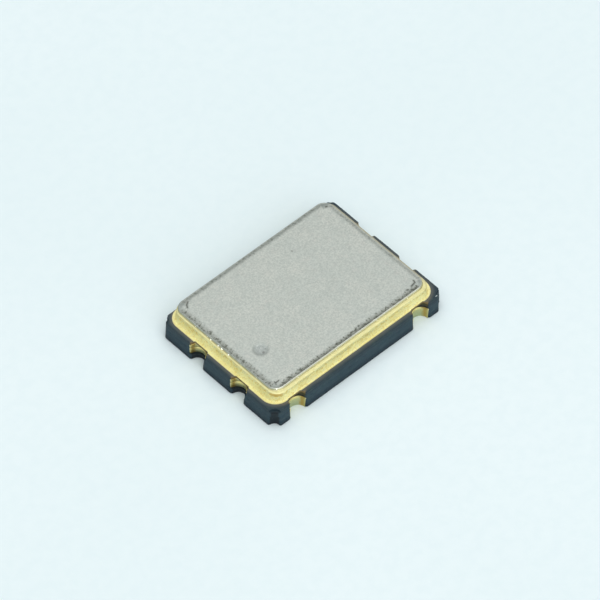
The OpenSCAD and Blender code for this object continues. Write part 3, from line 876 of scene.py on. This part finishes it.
class Look:
    """A material, its colour, roughness and normal so far, and short calls for its nodes."""

    def __init__(self, name, **values):
        self.material = bpy.data.materials.new(name)
        self.material.use_nodes = True
        self.tree = self.material.node_tree
        self.shader = self.tree.nodes["Principled BSDF"]
        for socket, value in values.items():
            self.shader.inputs[socket.replace("_", " ")].default_value = value
        self.object = self.node("TexCoord").outputs["Object"]
        self.colour = self.rough = self.normal = None

    def put(self, value, socket):
        """A link, or a plain value."""
        if isinstance(value, bpy.types.NodeSocket):
            self.tree.links.new(value, socket)
        else:
            socket.default_value = value

    def node(self, kind, inputs=None, **settings):
        """A node with its settings made and its inputs linked or set."""
        node = self.tree.nodes.new("ShaderNode" + kind)
        for name, value in settings.items():
            setattr(node, name, value)
        for name, value in (inputs or {}).items():
            self.put(value, node.inputs[name])
        return node

    def place(self, scale):
        """Object coordinates, stretched by scale."""
        return self.node("Mapping", {"Vector": self.object, "Scale": scale}).outputs["Vector"]

    def noise(self, size, vector=None, detail=3.0, roughness=0.55, distortion=0.0):
        """Noise whose blotches are about size metres wide."""
        inputs = {"Vector": vector or self.object, "Scale": 1 / size, "Detail": detail,
                  "Roughness": roughness, "Distortion": distortion}
        return self.node("TexNoise", inputs).outputs["Fac"]

    def cells(self, size):
        """Distance to scattered points about size metres apart."""
        inputs = {"Vector": self.object, "Scale": 1 / size}
        return self.node("TexVoronoi", inputs).outputs["Distance"]

    def ramp(self, value, low, high, to_low=0.0, to_high=1.0):
        """Maps low..high to to_low..to_high, and holds the ends."""
        inputs = {"Value": value, "From Min": low, "From Max": high,
                  "To Min": to_low, "To Max": to_high}
        return self.node("MapRange", inputs, interpolation_type="SMOOTHSTEP").outputs["Result"]

    def calc(self, operation, *numbers):
        node = self.node("Math", dict(enumerate(numbers)), operation=operation)
        return node.outputs["Value"]

    def times(self, first, *others):
        for other in others:
            first = self.calc("MULTIPLY", first, other)
        return first

    def plus(self, a, b):
        return self.calc("ADD", a, b)

    def minus(self, a, b):
        return self.calc("SUBTRACT", a, b)

    def stray(self, value, noise, size):
        """A value that noise moves up and down, by half of size at the most."""
        return self.calc("MULTIPLY_ADD", self.minus(noise, 0.5), size, value)

    def value(self, name):
        """A number that the mesh carries."""
        return self.node("Attribute", attribute_name=name).outputs["Fac"]

    def vector(self, x, y, z):
        """A position from three numbers."""
        return self.node("CombineXYZ", {"X": x, "Y": y, "Z": z}).outputs["Vector"]

    def length(self, vector):
        return self.node("VectorMath", {0: vector}, operation="LENGTH").outputs["Value"]

    def axis(self, name):
        """Position along X, Y or Z."""
        return self.node("SeparateXYZ", {"Vector": self.object}).outputs[name]

    def beyond_print(self):
        """How far a point lies outside the seal print's outline, seen from above."""
        half = PRINT_HI.x, (PRINT_HI.y - PRINT_LO.y) / 2
        across = self.minus(self.axis("Y"), (PRINT_HI.y + PRINT_LO.y) / 2)
        sides = [
            self.calc("MAXIMUM", self.minus(self.calc("ABSOLUTE", at), reach - PRINT_R), 0.0)
            for at, reach in zip((self.axis("X"), across), half)
        ]
        return self.minus(self.length(self.vector(*sides, 0.0)), PRINT_R)

    def spot(self, centre, size, turn=0.0):
        """1 at centre and 0 outside an oval of that size, turned about Z."""
        inputs = {"Vector": self.object, "Location": centre, "Rotation": (0, 0, turn),
                  "Scale": size}
        node = self.node("Mapping", inputs, vector_type="TEXTURE")
        return self.ramp(self.length(node.outputs["Vector"]), 0.4, 1.0, 1.0, 0.0)

    def mix(self, share, a, b):
        """Colour a where share is 0, and b where it is 1."""
        node = self.node("Mix", {"Factor": share, MIX_A: a, MIX_B: b}, data_type="RGBA")
        return node.outputs[MIX_RESULT]

    def tones(self, noise, a, b):
        """The ground colour: a and b where the noise is low and high."""
        self.colour = self.mix(self.ramp(noise, 0.3, 0.7), a, b)

    def tint(self, share, colour, strength=None):
        """Lays a colour over the one so far."""
        if strength is not None:
            share = self.times(share, strength)
        self.colour = self.mix(share, self.colour, colour)

    def roughen(self, noise, low, high):
        self.rough = self.ramp(noise, 0.3, 0.7, low, high)

    def bumps(self, *layers):
        """Heights of 0..1, each with the depth in metres that it stands for."""
        for height, depth in layers:
            inputs = {"Distance": depth, "Strength": 1.0, "Height": height}
            if self.normal is not None:
                inputs["Normal"] = self.normal
            self.normal = self.node("Bump", inputs).outputs["Normal"]

    def finish(self):
        for name, value in (("Base Color", self.colour), ("Roughness", self.rough),
                            ("Normal", self.normal)):
            if value is not None:
                self.put(value, self.shader.inputs[name])
        return self.material


def srgb(red, green, blue):
    """A colour written as it looks, from 0 to 255, as Blender's own numbers."""
    line = []
    for level in (red, green, blue):
        s = level / 255
        line.append(s / 12.92 if s <= 0.04045 else ((s + 0.055) / 1.055) ** 2.4)
    return (*line, 1.0)


LID_LIGHT, LID_DEEP = srgb(209, 212, 203), srgb(202, 207, 199)
LID_WARM, LID_GRAIN = srgb(207, 204, 196), srgb(173, 180, 173)
# the weld track's colour, which also carries painted shade; a painted highlight for the edge;
# the burrs
LID_WELD_SHADE, LID_EDGE_HIGHLIGHT, LID_BURR = srgb(84, 87, 76), srgb(238, 238, 220), srgb(66, 70, 60)
# the gold foot of the lid's wall, and painted shade over it at some sides
LID_WALL, LID_WALL_SHADE = srgb(222, 214, 170), srgb(166, 163, 130)
LID_CORNER = srgb(156, 163, 157)
STAIN_DEEP, STAIN_LIGHT = srgb(144, 153, 149), srgb(184, 190, 186)
# painted shade for the rim of the recess
RECESS_RIM_SHADE = srgb(126, 134, 129)
# a painted highlight and painted shade for the specks in the recess
SPECK_HIGHLIGHT, SPECK_SHADE = srgb(246, 248, 243), srgb(110, 108, 104)
BEAD_DEEP, BEAD_LIGHT = srgb(254, 250, 230), srgb(255, 254, 246)
GOLD_METALLIC = 0.6  # the rest scatters, as a matt plated film does
GOLD_PRINT = srgb(250, 246, 184), srgb(244, 236, 170)
GOLD_RING = srgb(254, 251, 190), srgb(240, 231, 166)
GOLD_BRAZE = srgb(254, 249, 182), srgb(248, 239, 164)
GOLD_INNER = srgb(232, 214, 140), srgb(212, 188, 112)
GOLD_LEDGE, GOLD_DULL, GOLD_TAN = srgb(232, 226, 166), srgb(186, 182, 160), srgb(226, 190, 104)
GOLD_STAIN = srgb(220, 192, 100)
# painted reflection and shade low on the wall, the colour higher up, painted highlights at the
# lip and one end, painted shade at the other end and in the groove
PLATE_LOW_REFLECTION, PLATE_HIGH = srgb(180, 188, 150), srgb(198, 200, 148)
PLATE_LIP_HIGHLIGHT, PLATE_BROWN_SHADE = srgb(255, 240, 160), srgb(184, 146, 62)
PLATE_PALE_HIGHLIGHT, PLATE_GROOVE_SHADE = srgb(222, 218, 186), srgb(136, 124, 70)
PLATE_OLIVE_SHADE = srgb(186, 176, 100)
CERAMIC_LIGHT, CERAMIC_DEEP = srgb(45, 67, 76), srgb(36, 59, 69)
# painted shade toward the foot, and the darker colour near the top of the walls
CERAMIC_FOOT_SHADE, CERAMIC_HEAD = srgb(10, 32, 46), srgb(42, 57, 64)
# darker punched walls with painted shade in the corner notches; the paler haze
CERAMIC_PUNCHED_SHADE, CERAMIC_HAZE = srgb(10, 17, 22), srgb(90, 94, 92)
CERAMIC_OLIVE, CERAMIC_TAN = srgb(72, 68, 42), srgb(132, 112, 70)
CERAMIC_MOSS, CERAMIC_DUSK = srgb(54, 76, 74), srgb(44, 50, 62)
CERAMIC_FLECK = srgb(190, 200, 200)
CERAMIC_SHEEN = 0.22  # specular level
HAZE_WIDTH = 0.16 * MM  # the paler ceramic round the print
FLECK, FLECK_SIZE = Vector((3.245, -2.44, 0.68)) * MM, Vector((0.075, 0.018, 0.075)) * MM
FRONT_BAND = Vector((-3.109, -2.139, 0.96)) * MM  # where the ring's front corner is tan
FRONT_BAND_SIZE = Vector((0.36, 0.18, 0.085)) * MM
LEDGE_SHADE_X, LEDGE_SHADE_Y = (0.50 * MM, 0.12 * MM), (0.1 * MM, 0.6 * MM)  # where painted shade dulls the ring's upper edge at +X
CORNER_REACH, CORNER_FADE = 0.45 * MM, 0.35 * MM  # the corner notches, from the ends
LID_GLOSS = 0.34, 0.42  # roughness where the noise is low and high; the others' are alike
PLATE_GLOSS, BEAD_GLOSS, CERAMIC_GLOSS = (0.32, 0.48), (0.12, 0.2), (0.5, 0.7)


def lid_look():
    """Satin nickel: clouds and faint streaks, the dark hairy track of the weld wheels along its
    edge with painted shade of the pressed-down rim in it, a painted highlight on the edge,
    painted shade on the wall's foot at some sides, dark burrs and the stained recess with
    painted shade on its rim and painted highlights and shade at its specks."""
    look = Look("lid_nickel", Metallic=1.0)
    fine = look.noise(0.05 * MM, roughness=0.7)
    look.tones(look.noise(0.8 * MM, detail=4), LID_DEEP, LID_LIGHT)
    look.tint(look.ramp(look.noise(0.22 * MM), 0.5, 0.75, 0, 0.4), LID_WARM)
    look.tint(look.ramp(fine, 0.3, 0.7, 0.8, 0), LID_GRAIN)

    # the weld track, drawn in lengths round the lid and inward from its edge; its darkness is
    # partly painted shade of the pressed-down rim and differs from side to side
    inward, dark = look.value("inward"), look.value("dark")
    rounds = look.value("round_x"), look.value("round_y")
    hairs = look.noise(0.042 * MM, look.vector(*rounds, look.times(inward, 0.22)), 2, 0.6)
    dabs = look.noise(0.085 * MM, look.vector(*rounds, look.times(inward, 0.6)), 2)
    share = look.calc("DIVIDE", look.stray(inward, hairs, 0.08 * MM), look.value("reach"))
    track = look.ramp(share, 0.45, 1.45, 1, 0)
    grain = look.plus(look.ramp(hairs, 0.3, 0.7, 0, 0.24), look.ramp(dabs, 0.35, 0.65, 0, 0.26))
    flecks = look.noise(0.075 * MM, look.vector(*rounds, inward), 1)
    flecks = look.ramp(flecks, 0.53, 0.63, 0, 0.62)
    flecks = look.times(flecks, look.ramp(share, 0.9, 1.6, 1, 0), dark)
    weld = look.plus(look.times(track, dark, look.plus(grain, 0.58)), flecks)
    edge = look.ramp(inward, 0.012 * MM, 0.045 * MM, 1, 0)
    weld = look.times(weld, look.minus(1, look.times(edge, 0.7)))
    weld = look.calc("MINIMUM", look.times(weld, look.minus(1, look.value("calm"))), 0.9)
    look.tint(weld, LID_WELD_SHADE)

    # the grey corners, a painted highlight along the edge, the wall's foot with painted shade
    # at some sides, and the burrs
    zone = look.calc("MULTIPLY_ADD", dabs, 0.05 * MM, inward)
    zone = look.ramp(look.calc("DIVIDE", zone, look.value("width")), 0.6, 1.25, 1, 0)
    look.tint(zone, LID_CORNER, look.value("grey"))
    look.tint(edge, LID_EDGE_HIGHLIGHT, look.value("edge_highlight"))
    look.tint(look.value("wall"), look.mix(look.value("wall_shade"), LID_WALL, LID_WALL_SHADE))
    look.tint(look.value("burr"), LID_BURR, 0.85)

    # the recess: its stain, painted shade on its rim, and painted highlights and shade at its
    # specks
    swirl = look.noise(0.055 * MM, distortion=1.2)
    stain = look.mix(look.ramp(swirl, 0.35, 0.65), STAIN_DEEP, STAIN_LIGHT)
    look.tint(look.value("recess"), stain, 0.65)
    look.tint(look.value("border"), RECESS_RIM_SHADE, 0.32)
    glints_and_shade = look.value("glints_and_shade")
    look.tint(look.ramp(glints_and_shade, 0.15, 0.7), SPECK_HIGHLIGHT)
    look.tint(look.ramp(glints_and_shade, -0.6, -0.1, 0.6, 0), SPECK_SHADE)

    look.roughen(look.noise(0.3 * MM, detail=5), *LID_GLOSS)
    look.rough = look.plus(look.rough, look.times(weld, 0.15))
    look.bumps((fine, 1.4 * UM), (look.times(hairs, track), 3.0 * UM))
    return look.finish()


def plated(name, tones, gloss, dent, grain=0.12 * MM, stain=0.25, metallic=GOLD_METALLIC):
    """Matt plated gold, clouded and stained, with a skin of soft dents."""
    light, deep = tones
    look = Look(name, Metallic=metallic)
    mottle = look.noise(grain, roughness=0.6)
    spots = look.noise(0.6 * grain, detail=4, roughness=0.65)
    look.tones(look.noise(3 * grain), deep, light)
    look.tint(look.ramp(mottle, 0.48, 0.68, 0, 0.7), deep)
    look.tint(look.ramp(spots, 0.49, 0.60, 0, stain), GOLD_STAIN)
    look.tint(look.ramp(spots, 0.38, 0.47, 0.6 * stain, 0), GOLD_DULL)
    look.roughen(mottle, *gloss)
    fine = look.noise(0.02 * MM, detail=2)
    look.bumps((mottle, dent), (spots, dent * 0.5), (fine, dent * 0.18))
    return look


def print_look():
    """The seal ring's print, duller where it thins out at its edge."""
    look = plated("gold_print", GOLD_PRINT, (0.5, 0.6), 2.0 * UM)
    look.tint(look.ramp(look.beyond_print(), -0.035 * MM, 0, 0, 0.5), GOLD_DULL)
    return look.finish()


def ring_look():
    """The ring's gold: bright along its upper edge, with painted shade dulling that edge at +X.
    """
    look = plated("gold_ring", GOLD_RING, (0.44, 0.55), 10.0 * UM, stain=0.75)
    look.tint(look.spot(FRONT_BAND, FRONT_BAND_SIZE, -pi / 4), GOLD_TAN, 0.85)
    ledge = look.ramp(look.axis("Z"), RING_HI.z - 36 * UM, RING_HI.z - 8 * UM)
    look.tint(ledge, GOLD_LEDGE, 0.9)
    # painted shade on the upper edge at +X
    along = look.ramp(look.axis("X"), *(RING_HI.x - reach for reach in LEDGE_SHADE_X))
    across = look.ramp(look.axis("Y"), *(RING_LO.y + reach for reach in LEDGE_SHADE_Y))
    look.tint(look.times(along, across), GOLD_DULL, ledge)
    return look.finish()


def plate_look():
    """Plated castellations: a painted highlight at a layer's upper lip, greener and darker
    below with a painted reflection of a bluish floor and painted shade, a painted highlight
    pale at one end and painted shade brown at the other, with painted shade in the groove above
    the second layer."""
    look = Look("gold_plate", Metallic=0.8)
    height, end = look.axis("Z"), look.value("end")
    mottle = look.noise(0.07 * MM)
    streaks = look.noise(0.05 * MM, look.place((1, 1, 0.35)))
    sag = look.stray(height, mottle, 0.06 * MM)
    # painted reflection of a bluish floor and painted shade: greener and darker low on the wall
    look.colour = look.mix(look.ramp(sag, 0.05 * MM, 0.34 * MM), PLATE_LOW_REFLECTION, PLATE_HIGH)
    # painted highlight: pale toward the end away from the painted shade
    look.tint(look.ramp(look.stray(end, mottle, 0.3), -0.85, -0.45, 0.8, 0), PLATE_PALE_HIGHLIGHT)
    # painted highlight along the upper lip
    lip = look.times(look.ramp(sag, Z_FINGER - 0.15 * MM, Z_FINGER - 0.06 * MM),
                     look.ramp(height, Z_FINGER, Z_FINGER + 0.012 * MM, 1, 0))
    look.tint(lip, PLATE_LIP_HIGHLIGHT, look.ramp(end, 0.2, 0.7, 1, 0.35))
    # painted shade, olive and brown, toward the shaded end
    drift = look.stray(end, streaks, 0.5)
    look.tint(look.ramp(drift, 0.50, 0.84, 0, 0.8), PLATE_OLIVE_SHADE)
    look.tint(look.ramp(drift, 0.46, 0.80, 0, 0.75), PLATE_BROWN_SHADE,
              look.ramp(drift, 0.78, 1.0, 1, 0.2))
    # painted highlight at the very tip of the shaded end
    look.tint(look.ramp(end, 0.97, 1.0, 0, 0.45), PLATE_PALE_HIGHLIGHT)
    # painted shade in the groove above the second layer
    groove = look.times(look.ramp(height, Z_FINGER - 4 * UM, Z_FINGER + 4 * UM),
                        look.ramp(sag, Z_FINGER + 0.03 * MM, Z_FINGER + 0.07 * MM, 1, 0))
    look.tint(groove, PLATE_GROOVE_SHADE, 0.6)
    look.tint(look.ramp(look.noise(0.02 * MM, detail=2), 0.5, 0.7, 0, 0.25), PLATE_LOW_REFLECTION)
    look.roughen(mottle, *PLATE_GLOSS)
    look.bumps((mottle, 1.8 * UM))
    return look.finish()


def bead_look():
    """Bright droplets that the weld threw out."""
    look = Look("weld_bead", Metallic=1.0)
    skin = look.noise(0.01 * MM, detail=2)
    look.colour = look.mix(skin, BEAD_DEEP, BEAD_LIGHT)
    look.roughen(skin, *BEAD_GLOSS)
    return look.finish()


def ceramic_look():
    """Dark alumina as fired: fine grain, bluer and darker toward its foot with painted shade,
    darker where it was punched with painted shade in the corner notches, brown above the
    plating and paler round the print."""
    look = Look("dark_alumina", IOR=1.55, Specular_IOR_Level=CERAMIC_SHEEN)
    height = look.axis("Z")
    grain = look.noise(0.018 * MM, roughness=0.65)
    clouds, blotches = look.noise(0.5 * MM, detail=4), look.noise(0.16 * MM)
    drag = look.noise(0.05 * MM, look.place((0.15, 0.15, 1)))
    look.tones(clouds, CERAMIC_DEEP, CERAMIC_LIGHT)
    # painted shade: bluer and darker toward the foot
    look.tint(look.ramp(height, 0, 0.30 * MM, 1, 0), CERAMIC_FOOT_SHADE)
    look.tint(look.ramp(height, 0.48 * MM, 0.64 * MM, 0, 0.8), CERAMIC_HEAD)
    look.tint(look.ramp(drag, 0.5, 0.75, 0, 0.08), CERAMIC_HAZE)
    look.tint(look.ramp(blotches, 0.52, 0.70, 0, 0.30), CERAMIC_MOSS)
    look.tint(look.ramp(blotches, 0.32, 0.46, 0.30, 0), CERAMIC_DUSK)

    # the punched walls, darker as punched and with painted shade in the corner notches, and the
    # brown above their plating everywhere but in the corner notches
    punched = look.ramp(look.value("punched"), 0.3, 0.9)
    look.tint(punched, CERAMIC_PUNCHED_SHADE, 0.75)
    off_x, off_y = (look.calc("ABSOLUTE", look.axis(name)) for name in "XY")
    corner = look.times(look.ramp(off_x, HALF_L - CORNER_REACH, HALF_L - CORNER_FADE),
                        look.ramp(off_y, HALF_W - CORNER_REACH, HALF_W - CORNER_FADE))
    olive = look.times(look.ramp(height, Z_FINGER, Z_FINGER + 0.10 * MM),
                       look.minus(punched, corner))
    brown = look.mix(look.ramp(height, Z_SHELF - 8 * UM, Z_SHELF + 8 * UM), CERAMIC_OLIVE,
                     CERAMIC_TAN)
    look.tint(olive, brown, 0.85)

    away = look.stray(look.beyond_print(), clouds, 0.08 * MM)
    look.tint(look.ramp(away, 0, HAZE_WIDTH, 0.9, 0), CERAMIC_HAZE,
              look.ramp(height, Z_TOP - 20 * UM, Z_TOP - 6 * UM))
    look.tint(look.ramp(look.cells(0.06 * MM), 0.05, 0.16, 1, 0), CERAMIC_HAZE, 0.12)
    look.tint(look.spot(FLECK, FLECK_SIZE), CERAMIC_FLECK)
    look.roughen(grain, *CERAMIC_GLOSS)
    look.bumps((grain, 1.0 * UM), (drag, 0.3 * UM))
    return look.finish()


def plain_film(name, light, deep, metallic, gloss, size, depth):
    """A matt film or paste with grain."""
    look = Look(name, Metallic=metallic)
    grain = look.noise(size, detail=4)
    share = look.times(look.plus(grain, look.noise(size * 8, detail=2)), 0.5)
    look.colour = look.mix(look.ramp(share, 0.35, 0.65), srgb(*deep), srgb(*light))
    look.roughen(grain, *gloss)
    look.bumps((grain, depth))
    return look.finish()


def silicon_look():
    """A die: dark oxide over blocks of wiring."""
    look = Look("die_silicon", Metallic=0.6)
    inputs = {"Vector": look.object, "Scale": 1 / (0.6 * MM), "Mortar Size": 0.012,
              "Color1": srgb(86, 92, 112), "Color2": srgb(66, 82, 92),
              "Mortar": srgb(120, 116, 104)}
    look.colour = look.node("TexBrick", inputs, offset=0.37, squash=0.7).outputs["Color"]
    wires = look.ramp(look.noise(0.02 * MM, look.place((1, 0.1, 1)), detail=1), 0.45, 0.55)
    look.tint(wires, srgb(128, 126, 120), 0.3)
    look.rough = look.ramp(wires, 0, 1, 0.18, 0.3)
    return look.finish()


def quartz_look():
    """Lapped and etched quartz."""
    look = Look("quartz", IOR=1.54, Transmission_Weight=0.9)
    etch = look.noise(0.03 * MM)
    look.tones(etch, srgb(226, 232, 234), srgb(242, 246, 247))
    look.roughen(etch, 0.1, 0.2)
    look.bumps((etch, 0.4 * UM))
    return look.finish()


def floor_look():
    """Matt pale paper."""
    look = Look("pale_paper", Roughness=0.9)
    fibres = look.noise(0.4 * MM, detail=5)
    look.tones(look.noise(20 * MM, detail=2), srgb(228, 241, 242), srgb(232, 244, 245))
    look.tint(look.ramp(fibres, 0.35, 0.7, 0, 0.3), srgb(222, 237, 239))
    look.bumps((fibres, 6 * UM))
    return look.finish()


def dress(thing, material):
    """Gives an object that material and no other."""
    if not thing.data.materials:
        thing.data.materials.append(material)
    for n in range(len(thing.data.materials)):
        thing.data.materials[n] = material


# ---------- camera, floor and light ----------

CAMERA_PLACE = Vector((-92.680, -95.554, 163.882)) * MM
CAMERA_AZIMUTH = radians(-44.0826)
CAMERA_ELEVATION = radians(50.7502)
CAMERA_ROLL = radians(1.2232)
CAMERA_LENS = 418.843
CAMERA_SENSOR = 36.0
WORLD_COLOUR = (0.34, 0.355, 0.37, 1)
SOFTBOXES = [  # place and size in metres, power in watts; each looks at the origin
    ("overhead", (-0.05, -0.05, 0.6), 0.75, 2.42),
    ("back", (0.45, 0.46, 0.78), 0.9, 1.25),
    ("front", (-0.16, -0.60, 0.42), 0.9, 2.52),
]
FLOOR_HALF = 3.0


def make_camera():
    data = bpy.data.cameras.new("camera")
    data.lens, data.sensor_width, data.sensor_fit = CAMERA_LENS, CAMERA_SENSOR, "HORIZONTAL"
    data.clip_start, data.clip_end = 1 * MM, 10000 * MM
    camera = new_object("camera", data)
    a, e = CAMERA_AZIMUTH, CAMERA_ELEVATION
    back = Vector((sin(a) * cos(e), -cos(a) * cos(e), sin(e)))
    right = Vector((cos(a), sin(a), 0))
    turned = right * cos(CAMERA_ROLL) + back.cross(right) * sin(CAMERA_ROLL)
    axes = Matrix((turned, back.cross(turned), back)).transposed().to_4x4()
    camera.matrix_world = Matrix.Translation(CAMERA_PLACE) @ axes
    bpy.context.scene.camera = camera


def make_light():
    world = bpy.data.worlds.new("studio")
    bpy.context.scene.world = world
    world.use_nodes = True
    world.node_tree.nodes["Background"].inputs["Color"].default_value = WORLD_COLOUR
    world.node_tree.nodes["Background"].inputs["Strength"].default_value = 1.0
    for name, place, size, power in SOFTBOXES:
        data = bpy.data.lights.new(name, "AREA")
        data.shape, data.size, data.energy = "SQUARE", size, power
        lamp = new_object(name, data)
        lamp.location = place
        lamp.rotation_mode = "QUATERNION"
        lamp.rotation_quaternion = Vector(place).to_track_quat("Z", "Y")
    bpy.context.scene.view_settings.view_transform = "Standard"


def make_floor():
    floor = new_piece("floor", [(x * FLOOR_HALF, y * FLOOR_HALF, 0) for x, y in CORNERS],
                      [(0, 1, 2, 3)])
    dress(floor, floor_look())


# ---------- the whole ----------


def make_pieces():
    """The pieces that stand in for CAD nodes or are added to them, with their materials."""
    body, ring, braze, lid, beads = (
        make_ceramic(), make_ring(), make_braze(), make_lid(), make_beads())
    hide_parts("ceramic_base")
    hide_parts("seal_ring")
    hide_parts("braze_joint")
    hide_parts("lid")
    platings, plate = make_terminals() + make_test_pads(), plate_look()
    braze_gold = plated("gold_braze", GOLD_BRAZE, (0.48, 0.58), 6.0 * UM, stain=0.5,
                        metallic=0.15)
    for piece, material, slot in [
        (body, ceramic_look(), "dark_alumina"),
        (ring, ring_look(), "gold_plated_ring"),
        (braze, braze_gold.finish(), "gold_plated_braze"),
        (lid, lid_look(), "lid_metal"),
        (beads, bead_look(), "lid_metal"),
        *[(plating, plate, "gold_plating") for plating in platings],
    ]:
        dress(piece, material)
        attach(piece, "root")


def dress_nodes():
    """Materials for the CAD nodes that stay as they are, by the start of their names."""
    inner_gold = plated("inner_gold", GOLD_INNER, (0.3, 0.45), 1.5 * UM, 0.05 * MM).finish()
    paste = plain_film("silver_paste", (186, 187, 190), (150, 152, 156), 0.8, (0.4, 0.6),
                       0.02 * MM, 2 * UM)
    silver = plain_film("silver_film", (226, 227, 228), (206, 208, 212), 1.0, (0.2, 0.3),
                        0.03 * MM, 0.4 * UM)
    wire = plain_film("gold_wire", (250, 224, 150), (236, 204, 124), 1.0, (0.15, 0.25),
                      0.02 * MM, 0.2 * UM)
    alumina = plain_film("printed_alumina", (150, 142, 126), (124, 116, 102), 0.0, (0.6, 0.8),
                         0.02 * MM, 1.5 * UM)
    looks = {
        "seal_metallisation": print_look(), "die_pad": inner_gold, "bond_finger": inner_gold,
        "mount_pad": inner_gold, "die_attach": paste, "adhesive_dot": paste,
        "oscillator_die": silicon_look(), "bond_wire": wire, "support_pillow": alumina,
        "quartz_blank": quartz_look(), "electrode": silver,
    }
    for name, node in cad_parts.items():
        for stem, material in looks.items():
            if name.startswith(stem):
                dress(node, material)


make_camera()
make_floor()
make_light()
make_pieces()
dress_nodes()
